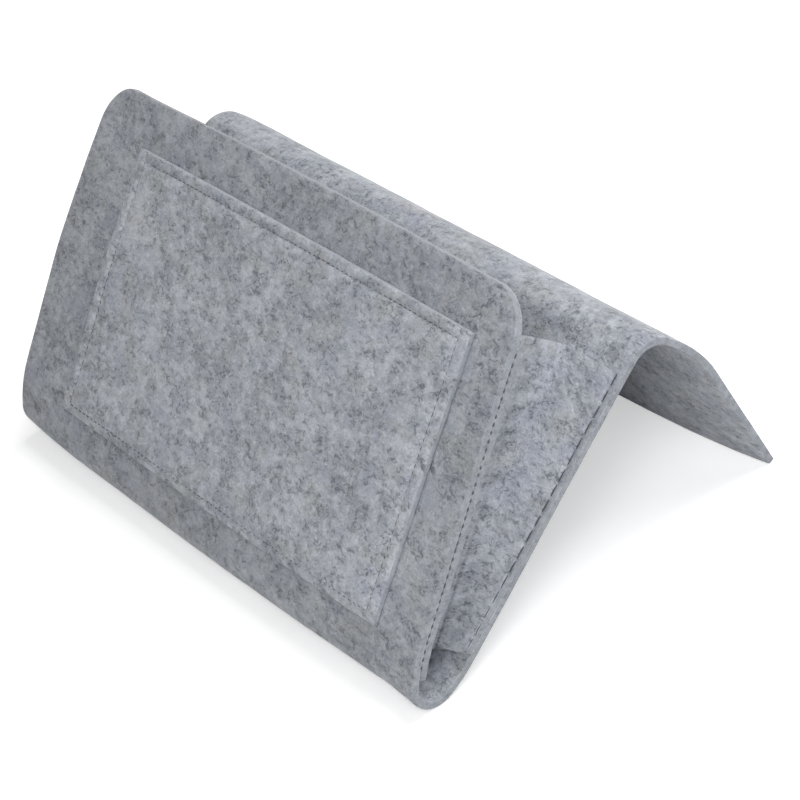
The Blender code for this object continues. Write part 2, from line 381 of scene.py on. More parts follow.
def finish_blank(name, bm, place, seams, material, seed=0.0, pressed_sides=(-1, 1), cut=as_cut):
    """Presses the seams, keeps the flat place for the material, and folds the blank with place()."""
    flat_layer = bm.verts.layers.float_vector.new("felt_place")
    for vert in bm.verts:
        x, s, rise = vert.co
        vert[flat_layer] = cut(x, s, rise)
        side = 1 if rise > 0 else -1
        pressed = 0.0
        if abs(rise) > ON_A_FACE and side in pressed_sides:
            for line in seams:
                pressed = max(pressed, math.exp(-((off_line(x, s, line) / GROOVE_REACH) ** 2)))
        grain = noise.noise(Vector((x, s, rise * 4 + seed)) * UNEVEN_GRAIN)
        coarse = noise.noise(Vector((x, s, seed + 3)) * (UNEVEN_GRAIN / 4))
        rise += UNEVEN * (0.5 * grain * abs(rise) / (FELT / 2) + coarse) - side * GROOVE * pressed
        vert.co = place(x, s, rise)
    bmesh.ops.recalc_face_normals(bm, faces=bm.faces)
    for face in bm.faces:
        face.smooth = True
    mesh = bpy.data.meshes.new(name)
    bm.to_mesh(mesh)
    bm.free()
    piece = bpy.data.objects.new(name, mesh)
    bpy.context.scene.collection.objects.link(piece)
    mesh.materials.append(material)
    print(name, len(mesh.polygons), "faces")
    return piece


# %% [markdown]
# ## The felt's look
#
# The felt is pressed from pale, mid and dark fibres. From a step away it is a cloudy grey. Close up,
# short curved dark fibres lie in every direction, a few pale ones among them, with hints of blue and
# of beige. The cut edge is plainer, since one even grey covers most of the pattern there, and that grey
# is darker than the face: painted shade. A photograph of felt could be laid on as an image, but noise
# needs no picture and never repeats. One node group makes the pattern, and each material places it
# with its own greys.


# %% Small helpers for node groups
def new_group(name, inputs, outputs):
    group = bpy.data.node_groups.new(name, "ShaderNodeTree")
    for title, kind, default in inputs:
        socket = group.interface.new_socket(title, in_out="INPUT", socket_type=kind)
        socket.default_value = default
    for title, kind in outputs:
        group.interface.new_socket(title, in_out="OUTPUT", socket_type=kind)
    return group, group.nodes.new("NodeGroupInput"), group.nodes.new("NodeGroupOutput")


def node(tree, kind, links=(), **values):
    """Adds a node, sets its properties, and links or fills its inputs by name or number."""
    made = tree.nodes.new(kind)
    for key, value in values.items():
        setattr(made, key, value)
    for key, value in dict(links).items():
        if isinstance(value, bpy.types.NodeSocket):
            tree.links.new(value, made.inputs[key])
        else:
            made.inputs[key].default_value = value
    return made


def maths(tree, operation, first, second=0.0, clamp=False):
    links = {0: first, 1: second}
    return node(tree, "ShaderNodeMath", links, operation=operation, use_clamp=clamp).outputs[0]


def times_plus(tree, value, factor, addition):
    links = {0: value, 1: factor, 2: addition}
    return node(tree, "ShaderNodeMath", links, operation="MULTIPLY_ADD").outputs[0]


def vectors(tree, operation, links, output=0):
    return node(tree, "ShaderNodeVectorMath", links, operation=operation).outputs[output]


def mixed(tree, factor, first, second):
    """A colour mix of two colours. On this node, inputs 6 and 7 and output 2 are the colour ones."""
    links = {"Factor": factor, 6: first, 7: second}
    return node(tree, "ShaderNodeMix", links, data_type="RGBA").outputs[2]


def ramp(tree, value, low, high):
    """0 below low, 1 above high, smooth between."""
    links = {"Value": value, "From Min": low, "From Max": high}
    return node(tree, "ShaderNodeMapRange", links, interpolation_type="SMOOTHSTEP").outputs["Result"]


def cloud(tree, place, scale, detail=2.0, roughness=0.5, distortion=0.0):
    """A noise texture, as a node, so that its grey or its colour can be taken."""
    links = {"Vector": place, "Scale": scale, "Detail": detail}
    links.update({"Roughness": roughness, "Distortion": distortion})
    return node(tree, "ShaderNodeTexNoise", links)


# %% Curled fibres
BREAK_GRAIN = 2.6
BREAK_SOFTNESS = 0.06


def curled_fibres(tree, place, scale, levels, width, broken_at, offset):
    """Long thin curls: the contour lines of a soft noise, broken into lengths by another noise."""
    links = {"Vector": place, "Location": (offset, -offset, offset)}
    moved = node(tree, "ShaderNodeMapping", links).outputs["Vector"]
    hills = cloud(tree, moved, scale, 1.0, 0.45, 0.25).outputs[0]
    contour = maths(tree, "PINGPONG", maths(tree, "MULTIPLY", hills, levels), 0.5)
    line = ramp(tree, contour, width, 0.0)
    breaks = cloud(tree, moved, scale * BREAK_GRAIN, 1.0).outputs[0]
    return maths(tree, "MULTIPLY", line, ramp(tree, breaks, broken_at, broken_at + BREAK_SOFTNESS))


def all_curls(tree, place, layers, broken_at, first_offset):
    """Several layers of curls, each moved aside so that no two fall together."""
    most = 0.0
    for i, (scale, levels, width) in enumerate(layers):
        curls = curled_fibres(tree, place, scale, levels, width, broken_at, first_offset + LAYERS_APART * i)
        most = maths(tree, "MAXIMUM", most, curls)
    return most


# %% The fibre pattern's inputs, sizes and strengths
COLOUR = "NodeSocketColor"
FLOAT = "NodeSocketFloat"
FELT_INPUTS = [
    ("Place", "NodeSocketVector", (0, 0, 0)),
    ("Shade", COLOUR, (0.2, 0.2, 0.2, 1)),
    ("Pale", COLOUR, (0.5, 0.5, 0.5, 1)),
    ("Dark", COLOUR, (0.1, 0.1, 0.1, 1)),
    ("Cool", COLOUR, (0.3, 0.3, 0.34, 1)),
    ("Warm", COLOUR, (0.34, 0.33, 0.3, 1)),
    # The cut edge's grey, darker than the face: painted shade
    ("Shaded Edge", COLOUR, (0.4, 0.4, 0.4, 1)),
    ("Fibre Amount", FLOAT, 1.0),
]
FELT_OUTPUTS = [("Color", COLOUR), ("Roughness", FLOAT), ("Height", FLOAT)]
# The pattern counts in millimetres, and is drawn out a little along the sheet's length
FIBRE_STRETCH = 0.72
TO_MILLIMETRES = (1000.0 * FIBRE_STRETCH, 1000.0, 1000.0)
WANDER_GRAIN = 0.45
WANDER = 2.5
# Each layer of curls: its noise's scale, its number of contour lines and their width
DARK_LAYERS = ((0.13, 5.0, 0.17), (0.20, 4.0, 0.21), (0.30, 3.0, 0.23))
PALE_LAYERS = ((0.15, 4.0, 0.17), (0.24, 3.0, 0.21))
DARK_BROKEN_AT = 0.50
PALE_BROKEN_AT = 0.53
LAYERS_APART = 31.0
PALE_OFFSET = 170.0
CLOUD_GRAIN = 0.034
PATCH_GRAIN = 0.11
BLOT_GRAIN = 0.36
TINT_GRAIN = 0.07
GRIT_GRAIN = 1.1
LINT_GRAIN = 1.6
COOL_SHARE = 0.5
WARM_SHARE = 0.32
PALE_FIBRE_SHARE = 0.45
# How much of the cut edge's darker grey, which is painted shade, covers the pattern
SHADED_EDGE_SHARE = 0.6
# Depth off the felt's middle, in millimetres, where the cut edge's darker grey (painted shade) starts and
# where it is full
EDGE_STARTS = 1.59
EDGE_FULL = 1.25


# %% The fibre pattern, used by every felt material
def felt_tone(group, ins, place, patches, blots):
    """Clouds, patches and blots of pale and shade, tinted here cool and there warm."""
    tone = cloud(group, place, CLOUD_GRAIN, 2.0, 0.55).outputs[0]
    tone = maths(group, "ADD", tone, times_plus(group, patches, 1.3, -0.65))
    tone = maths(group, "ADD", tone, times_plus(group, blots, 1.5, -0.75))
    colour = mixed(group, ramp(group, tone, -0.1, 1.1), ins.outputs["Shade"], ins.outputs["Pale"])
    tints = node(group, "ShaderNodeSeparateColor", {0: cloud(group, place, TINT_GRAIN, 2.0).outputs["Color"]})
    cool = maths(group, "MULTIPLY", ramp(group, tints.outputs[0], 0.46, 0.68), COOL_SHARE)
    warm = maths(group, "MULTIPLY", ramp(group, tints.outputs[1], 0.50, 0.72), WARM_SHARE)
    colour = mixed(group, cool, colour, ins.outputs["Cool"])
    return mixed(group, warm, colour, ins.outputs["Warm"])


def build_felt_group():
    group, ins, outs = new_group("felt_fibres", FELT_INPUTS, FELT_OUTPUTS)
    place = vectors(group, "MULTIPLY", {0: ins.outputs["Place"], 1: TO_MILLIMETRES})
    wander = cloud(group, place, WANDER_GRAIN, 1.0).outputs["Color"]
    wander = vectors(group, "SUBTRACT", {0: wander, 1: (0.5, 0.5, 0.5)})
    wander = vectors(group, "SCALE", {0: wander, "Scale": WANDER})
    bent = vectors(group, "ADD", {0: place, 1: wander})
    dark = all_curls(group, bent, DARK_LAYERS, DARK_BROKEN_AT, 0.0)
    pale = all_curls(group, bent, PALE_LAYERS, PALE_BROKEN_AT, PALE_OFFSET)
    patches = cloud(group, place, PATCH_GRAIN, 2.0, 0.6).outputs[0]
    blots = cloud(group, bent, BLOT_GRAIN, 1.5, 0.5).outputs[0]
    colour = felt_tone(group, ins, place, patches, blots)
    colour = mixed(group, maths(group, "MULTIPLY", pale, PALE_FIBRE_SHARE), colour, ins.outputs["Pale"])

    # Dark fibres lie thickest where the felt is dark already
    clumps = maths(group, "ADD", patches, maths(group, "MULTIPLY", blots, 0.5))
    clumps = ramp(group, clumps, 0.88, 0.62)
    amount = times_plus(group, clumps, 0.55, 0.16)
    amount = maths(group, "MULTIPLY", amount, ins.outputs["Fibre Amount"])
    colour = mixed(group, maths(group, "MULTIPLY", dark, amount, clamp=True), colour, ins.outputs["Dark"])
    grit = times_plus(group, cloud(group, place, GRIT_GRAIN, 1.0).outputs[0], 0.6, 0.70)
    colour = vectors(group, "SCALE", {0: colour, "Scale": grit})

    # The cut edge, where the place is between the two faces of the felt, gets a darker grey: painted shade
    depth = maths(group, "ABSOLUTE", node(group, "ShaderNodeSeparateXYZ", {0: place}).outputs["Z"])
    cut = ramp(group, depth, EDGE_STARTS, EDGE_FULL)
    colour = mixed(group, maths(group, "MULTIPLY", cut, SHADED_EDGE_SHARE), colour, ins.outputs["Shaded Edge"])

    # Lint, pale fibres and blots stand up, and dark fibres lie a little lower
    lint = cloud(group, bent, LINT_GRAIN, 2.0, 0.5).outputs[0]
    height = maths(group, "ADD", maths(group, "MULTIPLY", lint, 0.5), maths(group, "MULTIPLY", pale, 0.5))
    height = maths(group, "ADD", height, maths(group, "MULTIPLY", blots, 1.5))
    height = maths(group, "SUBTRACT", height, maths(group, "MULTIPLY", dark, 0.4))
    group.links.new(colour, outs.inputs["Color"])
    group.links.new(times_plus(group, lint, 0.12, 0.86), outs.inputs["Roughness"])
    group.links.new(height, outs.inputs["Height"])
    return group


FELT_GROUP = build_felt_group()
print("felt_fibres has", len(FELT_GROUP.nodes), "nodes")


# %% The felt materials
def linear(value):
    """One channel, 0 to 1, from how it looks on screen to how much light it is."""
    return value / 12.92 if value <= 0.04045 else ((value + 0.055) / 1.055) ** 2.4


def paint(red, green, blue):
    """A colour given as it looks on screen, 0 to 255, as the linear light that Blender counts in."""
    return (*(linear(c / 255) for c in (red, green, blue)), 1.0)


FELT_GREYS = {
    "Shade": (139, 144, 152),
    "Pale": (191, 195, 202),
    "Dark": (84, 89, 97),
    "Cool": (150, 155, 170),
    "Warm": (166, 166, 161),
    # The cut edge's grey is darker than the face: painted shade
    "Shaded Edge": (130, 134, 140),
}
NAP_HEIGHT = 0.0004
NAP_STRENGTH = 0.55


def felt_material(name, shade=1.0):
    """Felt whose greys are all scaled by shade."""
    material = bpy.data.materials.new(name)
    material.use_nodes = True
    tree = material.node_tree
    shader = tree.nodes["Principled BSDF"]
    place = node(tree, "ShaderNodeAttribute", attribute_name="felt_place").outputs["Vector"]
    felt = tree.nodes.new("ShaderNodeGroup")
    felt.node_tree = FELT_GROUP
    tree.links.new(place, felt.inputs["Place"])
    felt.inputs["Fibre Amount"].default_value = 1.0
    for key, grey in FELT_GREYS.items():
        felt.inputs[key].default_value = paint(*(c * shade for c in grey))
    links = {"Height": felt.outputs["Height"], "Strength": NAP_STRENGTH, "Distance": NAP_HEIGHT}
    bump = node(tree, "ShaderNodeBump", links)
    tree.links.new(felt.outputs["Color"], shader.inputs["Base Color"])
    tree.links.new(felt.outputs["Roughness"], shader.inputs["Roughness"])
    tree.links.new(bump.outputs["Normal"], shader.inputs["Normal"])
    shader.inputs["Specular IOR Level"].default_value = 0.25
    shader.inputs["Sheen Weight"].default_value = 0.35
    shader.inputs["Sheen Roughness"].default_value = 0.5
    return material


MAIN_FELT = felt_material("main_felt")
PATCH_FELT = felt_material("patch_felt", 1.085)
GUSSET_FELT = felt_material("gusset_felt", 0.99)
print("felt materials:", MAIN_FELT.name, PATCH_FELT.name, GUSSET_FELT.name)

# %% [markdown]
# ## The main sheet
#
# It is one sheet on the real organizer. It bends at two hinges, and a piece can only follow one, so it
# is laid here as two blanks that meet, edge to edge, on the flat of the back panel where neither hinge
# reaches. The meeting ends stay square and are shaded as sharp edges, so no line shows between them.

# %% Cut and fold the main sheet
CORNER_RADIUS = 0.020
MEETING = START["ridge"] - 0.020
FRONT_SEAM_X = HALF - 0.0003
REAR_SEAM_X = HALF - 0.0007
GUSSET_TOP = 0.022
GUSSET_LOW = GUSSET_TOP + 0.144
FRONT_SEAM_LOW = GUSSET_TOP + 0.137
REAR_TOP = START["ridge"] - 0.007
REAR_LOW = START["back run"] + 0.0045
END_MARGIN = 0.009


def both_ends(x, top, low):
    """The same straight seam at the left and at the right end of the sheet."""
    return [[(side * x, top), (side * x, low)] for side in (-1, 1)]


front_lines = both_ends(FRONT_SEAM_X, GUSSET_TOP, FRONT_SEAM_LOW)
rear_lines = both_ends(REAR_SEAM_X, REAR_TOP, REAR_LOW)
columns = even(-HALF + END_MARGIN, HALF - END_MARGIN, COLUMN)
beside_rear_seam = (REAR_SEAM_X, REAR_SEAM_X - GROOVE_SIDE, REAR_SEAM_X - GROOVE_EDGE)
seam_columns = [side * x for side in (-1, 1) for x in beside_rear_seam]


def sheet_stretch(name, first, last, corner=0.0, square_ends=(), seams=()):
    bm = blank(-HALF, HALF, first, last, corner)
    soften(bm, square_ends, RIM, MATING_RIM)
    score(bm, 1, rows_between(first, last))
    score(bm, 0, columns + seam_columns)
    return finish_blank(name, bm, on_sheet, seams, MAIN_FELT, pressed_sides=(-1,))


pocket_sheet = sheet_stretch("main_sheet_pocket", 0.0, MEETING, CORNER_RADIUS, (MEETING,), rear_lines)
flap_sheet = sheet_stretch("main_sheet_flap", MEETING, START["end"], 0.0, (MEETING,), rear_lines)

# %% [markdown]
# ## The patch pocket
#
# A rectangle, sewn flat on the front along its sides and its low edge, and open at the top. A line of
# stitches under the open edge makes a lip. The seams press its border thinner, and its mouth stands off
# the front by a hair. It could be a plain slab on the panel, but cut and folded as the sheet is, it
# follows every bow of the felt under it.

# %% Cut the patch
LAYER = FELT + GAP
PATCH_TOP = 0.0225
PATCH_LOW = PATCH_TOP + 0.128
PATCH_LEFT = -HALF + 0.0445
PATCH_RIGHT = HALF - 0.0225
SIDE_INSET = 0.0065
LOW_INSET = 0.0041
HEM_LINE = PATCH_TOP + 0.0048
MOUTH_STAND = 0.0014
SIDE_PRESSED = 0.0006
LOW_PRESSED = 0.0019
PRESS_REACH = 0.0050
PATCH_LEAN = 0.0048
SEAM_LEFT = PATCH_LEFT + SIDE_INSET
SEAM_RIGHT = PATCH_RIGHT - SIDE_INSET
SEAM_LOW = PATCH_LOW - LOW_INSET
MOUTH_REACH = 0.05
PATCH_ROW_MARGIN = 0.008
PATCH_COLUMN_MARGIN = 0.010
BORDER_COLUMN = 0.0025
low_corners = [(SEAM_LEFT, SEAM_LOW), (SEAM_RIGHT, SEAM_LOW)]
patch_line = [(SEAM_LEFT, PATCH_TOP), *low_corners, (SEAM_RIGHT, PATCH_TOP)]
hem_line = [(SEAM_LEFT, HEM_LINE), (SEAM_RIGHT, HEM_LINE)]


def patch_share(x):
    """0 at the patch's left edge and 1 at its right edge."""
    return (x - PATCH_LEFT) / (PATCH_RIGHT - PATCH_LEFT)


def leaning(x, s):
    """The patch gets a little narrower towards its low end, on the right."""
    return x - PATCH_LEAN * patch_share(x) * (s - PATCH_TOP) / (PATCH_LOW - PATCH_TOP)


def on_patch(x, s, rise):
    """The patch lies on the front face, and its mouth stands off it by a hair in the middle."""
    bulge = math.sin(math.pi * min(max(patch_share(x), 0.0), 1.0))
    stand = MOUTH_STAND * bulge * (1 - smooth(s, PATCH_TOP, MOUTH_REACH))
    from_side = min(x - PATCH_LEFT, PATCH_RIGHT - x)
    thinner = SIDE_PRESSED * (1 - smooth(from_side, 0.0, PRESS_REACH))
    thinner = max(thinner, LOW_PRESSED * (1 - smooth(PATCH_LOW - s, 0.0, PRESS_REACH)))
    return on_sheet(leaning(x, s), s, rise + thinner * (0.5 - rise / FELT) - LAYER - stand)


bm = blank(PATCH_LEFT, PATCH_RIGHT, PATCH_TOP, PATCH_LOW)
soften(bm)
patch_rows = rows_between(PATCH_TOP + PATCH_ROW_MARGIN, PATCH_LOW - PATCH_ROW_MARGIN)
score(bm, 1, patch_rows + beside(HEM_LINE) + beside(SEAM_LOW))
score(bm, 0, even(PATCH_LEFT + PATCH_COLUMN_MARGIN, PATCH_RIGHT - PATCH_COLUMN_MARGIN, COLUMN))
border_columns = [PATCH_LEFT + BORDER_COLUMN, PATCH_RIGHT - BORDER_COLUMN]
score(bm, 0, beside(SEAM_LEFT) + beside(SEAM_RIGHT) + border_columns)
patch = finish_blank("patch_pocket_felt", bm, on_patch, [patch_line, hem_line], PATCH_FELT, seed=5.0)

# %% [markdown]
# ## The gussets
#
# Each is one strip. It starts flat on the inside of the front panel, bends inwards, crosses to the back
# panel on a slant, bends again and lies flat on the back panel, out to the end. The crossing is a cubic
# curve that leaves both flat parts smoothly, and hangs slack by a couple of millimetres at its foot. The
# strip is cut flat like the rest, and then every place on it is asked for its spot on that surface. A
# cloth simulation could drape it, but felt this stiff keeps the shape that it is sewn in.

# %% The gusset's middle surface
FRONT_FLANGE = 0.016
FLANGE_TAIL = -0.003
REAR_TOP_WIDTH = 0.031
REAR_LOW_WIDTH = 0.006
REAR_TAIL = 0.0025
WEB_LENGTH = 0.058
WEB_SAG = 0.0022
REAR_FLANGE = 0.026
STRIP_HEIGHT = 0.136
BEND_FRONT = 0.010
BEND_REAR = 0.018
REAR_LAYER = FELT + 0.00002


def mix(a, b, share):
    return a + (b - a) * share


def front_flange(side, down, inward):
    low = GUSSET_LOW + FLANGE_TAIL * (1 - inward)
    return on_sheet(side * (HALF - FRONT_FLANGE * inward), mix(GUSSET_TOP, low, down), LAYER)


def rear_flange(side, down, inward):
    width = mix(REAR_TOP_WIDTH, REAR_LOW_WIDTH, down)
    low = REAR_LOW - REAR_TAIL * inward
    return on_sheet(side * (HALF - width * inward), mix(REAR_TOP, low, down), REAR_LAYER)


def web(side, down, across):
    inwards = Vector((-side, 0, 0))
    start = front_flange(side, down, 1.0)
    end = rear_flange(side, down, 1.0)
    near = start * (1 - across) ** 3 + (start + inwards * BEND_FRONT) * 3 * across * (1 - across) ** 2
    far = (end + inwards * BEND_REAR) * 3 * across**2 * (1 - across) + end * across**3
    return near + far - Vector((0, 0, WEB_SAG)) * (4 * across * (1 - across) * down**3)


def gusset_surface(side, a, down):
    """The strip's middle surface: a runs from the front cut edge, over the web, to the rear cut edge."""
    if a < FRONT_FLANGE:
        return front_flange(side, down, a / FRONT_FLANGE)
    if a < FRONT_FLANGE + WEB_LENGTH:
        return web(side, down, (a - FRONT_FLANGE) / WEB_LENGTH)
    return rear_flange(side, down, 1 - (a - FRONT_FLANGE - WEB_LENGTH) / REAR_FLANGE)


# %% [markdown]
# The strip is scored as a plain rectangle, but the real cut narrows downwards, as the pocket does. Its
# widths are measured on the folded surface, and the fibres are drawn on that real cut.

# %% The real cut of a gusset
WEB_STEPS = 24


def web_width(down):
    crossing = [web(1, down, i / WEB_STEPS) for i in range(WEB_STEPS + 1)]
    return sum((after - before).length for before, after in zip(crossing, crossing[1:]))


WEB_TOP_WIDTH = web_width(0.0)
WEB_LOW_WIDTH = web_width(1.0)


def gusset_cut(a, v, rise):
    """Where a place on the scored strip lies on the real cut."""
    down = v / STRIP_HEIGHT
    on_web = min(max(a - FRONT_FLANGE, 0.0), WEB_LENGTH) / WEB_LENGTH
    on_rear = max(a - FRONT_FLANGE - WEB_LENGTH, 0.0) / REAR_FLANGE
    width = min(a, FRONT_FLANGE) + on_web * mix(WEB_TOP_WIDTH, WEB_LOW_WIDTH, down)
    return width + on_rear * mix(REAR_TOP_WIDTH, REAR_LOW_WIDTH, down), v, rise


# %% Cut and fold a gusset on each end
STRIP_WIDTH = FRONT_FLANGE + WEB_LENGTH + REAR_FLANGE
NUDGE = 0.0004
CREASE_TOP = 0.0525
CREASE_LOW = 0.0588
SEAM_STEPS = 8
SEAM_SHARES = [i / SEAM_STEPS for i in range(SEAM_STEPS + 1)]


def rear_seam_at(down):
    """How far along the strip the rear seam is, so that it runs straight on the folded flange."""
    inward = (HALF - REAR_SEAM_X) / mix(REAR_TOP_WIDTH, REAR_LOW_WIDTH, down)
    return STRIP_WIDTH - REAR_FLANGE * inward


rear_seam = [(rear_seam_at(down), STRIP_HEIGHT * down) for down in SEAM_SHARES]
crease = [(CREASE_TOP, 0.0), (CREASE_LOW, STRIP_HEIGHT)]
WEB_START = FRONT_FLANGE
WEB_END = FRONT_FLANGE + WEB_LENGTH
STRIP_ROW = 0.004
FLANGE_COLUMN = 0.004
WEB_COLUMN = 0.0015
FINE_COLUMN = 0.0006
REAR_BORDER = 0.0055
CREASE_MARGIN = 0.002
strip_columns = even(0.0, WEB_START, FLANGE_COLUMN) + even(WEB_START, WEB_END, WEB_COLUMN)
strip_columns += [WEB_START, WEB_END] + even(WEB_END, STRIP_WIDTH, FLANGE_COLUMN)
fine_columns = even(STRIP_WIDTH - REAR_BORDER, STRIP_WIDTH, FINE_COLUMN)
fine_columns += even(CREASE_TOP - CREASE_MARGIN, CREASE_LOW + CREASE_MARGIN, FINE_COLUMN)
GUSSET_SEED = 11.0


def gusset(side, name, material):
    """One gusset. Its seam and its soft crease are pressed in on the face that shows."""

    def place(a, v, rise):
        down = v / STRIP_HEIGHT
        before = gusset_surface(side, max(a - NUDGE, 0.0), down)
        after = gusset_surface(side, min(a + NUDGE, STRIP_WIDTH), down)
        above = gusset_surface(side, a, down - NUDGE / STRIP_HEIGHT)
        below = gusset_surface(side, a, down + NUDGE / STRIP_HEIGHT)
        outward = (after - before).cross(below - above).normalized()
        return gusset_surface(side, a, down) + outward * rise

    bm = blank(0.0, STRIP_WIDTH, 0.0, STRIP_HEIGHT)
    soften(bm, (), MATING_RIM, MATING_RIM)
    score(bm, 1, even(0.0, STRIP_HEIGHT, STRIP_ROW))
    score(bm, 0, strip_columns)
    score(bm, 0, fine_columns)
    lines = [rear_seam, crease]
    return finish_blank(name, bm, place, lines, material, GUSSET_SEED + side, (-side,), gusset_cut)


gussets = {
    -1: gusset(-1, "gusset_left_felt", GUSSET_FELT),
    1: gusset(1, "gusset_right_felt", GUSSET_FELT),
}

# %% [markdown]
# ## The stitches
#
# The seams are sewn in grey thread with a stitch every few millimetres, and each stitch dives into the
# felt at both ends. A curve with a bevel could run along each seam as one cord, but only the short
# lengths on the surface show. So a stitch is a small sphere drawn out to a grain of rice, laid along
# its seam before the felt is folded, and it takes the same bend as the felt under it.

# %% Thread material
THREAD_GREY = (64, 67, 73)
THREAD_LIGHT = 1.35
TWIST_GRAIN = 2600.0
TWIST_HEIGHT = 0.0001


def thread_material():
    material = bpy.data.materials.new("sewing_thread")
    material.use_nodes = True
    tree = material.node_tree
    shader = tree.nodes["Principled BSDF"]
    place = node(tree, "ShaderNodeTexCoord").outputs["Object"]
    twist = cloud(tree, place, TWIST_GRAIN, 2.0).outputs[0]
    lighter = paint(*(c * THREAD_LIGHT for c in THREAD_GREY))
    shades = mixed(tree, ramp(tree, twist, 0.35, 0.65), paint(*THREAD_GREY), lighter)
    bump = node(tree, "ShaderNodeBump", {"Height": twist, "Strength": 0.5, "Distance": TWIST_HEIGHT})
    tree.links.new(shades, shader.inputs["Base Color"])
    tree.links.new(bump.outputs["Normal"], shader.inputs["Normal"])
    tree.links.new(times_plus(tree, twist, 0.2, 0.6), shader.inputs["Roughness"])
    return material


THREAD_MATERIAL = thread_material()
print("thread material:", THREAD_MATERIAL.name)

# %% Lay the stitches
STITCH_PITCH = 0.0036
TACK_PITCH = 0.0070
STITCH_SHARE = 0.72
TACK_SHARE = 0.88
THREAD = 0.0005
PATCH_THREAD = 0.0006
EDGE_THREAD = 0.0012
TACK_THREAD = 0.00075
PITCH_SLIP = 0.08
STITCH_SHORTEST = 0.8
STITCH_LONGEST = 1.1
GRAIN_SIDES = 7
GRAIN_RINGS = 5


def sew(name, line, faces, body, node_name, pitch=STITCH_PITCH, thread=THREAD, share=STITCH_SHARE):
    """One object with a grain of thread for every stitch along a line, on each of the faces."""
    uneven = random.Random(name)
    bm = bmesh.new()
    for first, last in zip(line, line[1:]):
        start, run = Vector(first), Vector(last) - Vector(first)
        count = max(1, round(run.length / pitch))
        turn = Matrix.Rotation(math.atan2(run.y, run.x), 4, "Z")
        for i in range(count):
            middle = start + run * ((i + 0.5 + uneven.uniform(-PITCH_SLIP, PITCH_SLIP)) / count)
            length = pitch * share * uneven.uniform(STITCH_SHORTEST, STITCH_LONGEST)
            drawn_out = Matrix.Diagonal((length / 2, thread / 2, thread / 2, 1))
            shape = Matrix.Translation((middle.x, middle.y, 0.0)) @ turn @ drawn_out
            for place in faces:
                grain = bmesh.ops.create_uvsphere(
                    bm, u_segments=GRAIN_SIDES, v_segments=GRAIN_RINGS, radius=1.0, matrix=shape
                )
                for vert in grain["verts"]:
                    vert.co = place(*vert.co)
    bmesh.ops.recalc_face_normals(bm, faces=bm.faces)
    for face in bm.faces:
        face.smooth = True
    mesh = bpy.data.meshes.new(name)
    bm.to_mesh(mesh)
    bm.free()
    piece = bpy.data.objects.new(name, mesh)
    bpy.context.scene.collection.objects.link(piece)
    mesh.materials.append(THREAD_MATERIAL)
    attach(piece, body)
    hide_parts(node_name)
    print(name, len(mesh.polygons), "faces")
    return piece


# %% The faces that the stitches lie on
SUNK = GROOVE + THREAD * 0.15
FLANGE_SUNK = GROOVE * 0.7


def face_at(rise):
    """Places stitches at a height off the sheet's middle layer."""
    return lambda x, s, r: on_sheet(x, s, r + rise)


OUTER = face_at(-(FELT / 2 - SUNK))
INNER = face_at(FELT / 2 - SUNK)
BETWEEN = face_at((FELT + GAP) / 2)
FLANGE_FACE = face_at(REAR_LAYER + FELT / 2 - FLANGE_SUNK)


def patch_face(x, s, r):
    return on_patch(x, s, r - FELT / 2 + SUNK)


def under_patch(x, s, r):
    """The front panel's inner face, where the patch seam's stitches come through."""
    return INNER(leaning(x, s), s, r)


# %% Sew every seam
sew("patch_seam_stitches", patch_line, [patch_face, under_patch], "front", "patch_seam", thread=PATCH_THREAD)
sew("patch_hem_stitches", hem_line, [patch_face], "front", "patch_hem_seam")
tacking = (TACK_PITCH, TACK_THREAD, TACK_SHARE)
for front_line, rear_line, name in zip(front_lines, rear_lines, ("left", "right")):
    front_node, rear_node = f"front_seam_{name}", f"rear_seam_{name}"
    sew(f"{front_node}_stitches", front_line, [BETWEEN], "front", front_node, thread=EDGE_THREAD)
    sew(f"{rear_node}_stitches", rear_line, [OUTER, FLANGE_FACE], "back", rear_node, *tacking)

# %% [markdown]
# ## Standing in for the part
#
# Each felt piece stands for the part's nodes that it covers, and those nodes are hidden. The patch
# rides on the front body. The two blanks of the long sheet and the gussets have their transforms baked
# into their meshes and stay where they were laid. The pocket blank and the gussets cross the bottom
# fold, and the flap blank crosses the ridge.

# %% Bake the pieces and hide the parts that they cover
# Each direction runs across its bend, and the two lengths go with its two sides.
POCKET_ACROSS = Vector((0, -0.6778, 0.7353))
POCKET_REACH = (0.0090, 0.0086)
RIDGE_ACROSS = Vector((0, 0.9946, 0.1038))
RIDGE_REACH = (0.0184, 0.0275)
GUSSET_REACH = (0.025, 0.025)


def tie_across(piece, low_body, high_body, hinge, direction, before, after):
    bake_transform(piece)


tie_across(pocket_sheet, "back", "front", FOLD_HINGE, POCKET_ACROSS, *POCKET_REACH)
tie_across(flap_sheet, "back", "flap", RIDGE_HINGE, RIDGE_ACROSS, *RIDGE_REACH)
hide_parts("front_panel", "bottom_fold", "back_panel")
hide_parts("ridge_bend", "tuck_flap")
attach(patch, "front")
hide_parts("patch_pocket")
for side, name in ((-1, "gusset_left"), (1, "gusset_right")):
    tie_across(gussets[side], "back", "front", FOLD_HINGE, POCKET_ACROSS, *GUSSET_REACH)
    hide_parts(f"{name}_front_flange", f"{name}_web", f"{name}_rear_flange")

print("declared", 3 + len(gussets), "sheets of felt")

# %% [markdown]
# ## Floor, light and camera
#
# The organizer is shown on a plain white ground. The floor is pale and takes the object's soft shadow,
# and is lifted to white only for what the camera sees directly, so no extra light falls on the felt.
# The lift grows away from the object until the floor runs into the white world without a horizon.

# %% The floor
FLOOR_SIZE = 6.0
FLOOR_DROP = 0.0003
FLOOR_GREY = 0.86
FLOOR_ROUGHNESS = 0.9
FLOOR_LIFT = 0.45
FADE_NEAR = 0.5
FADE_FAR = 2.5


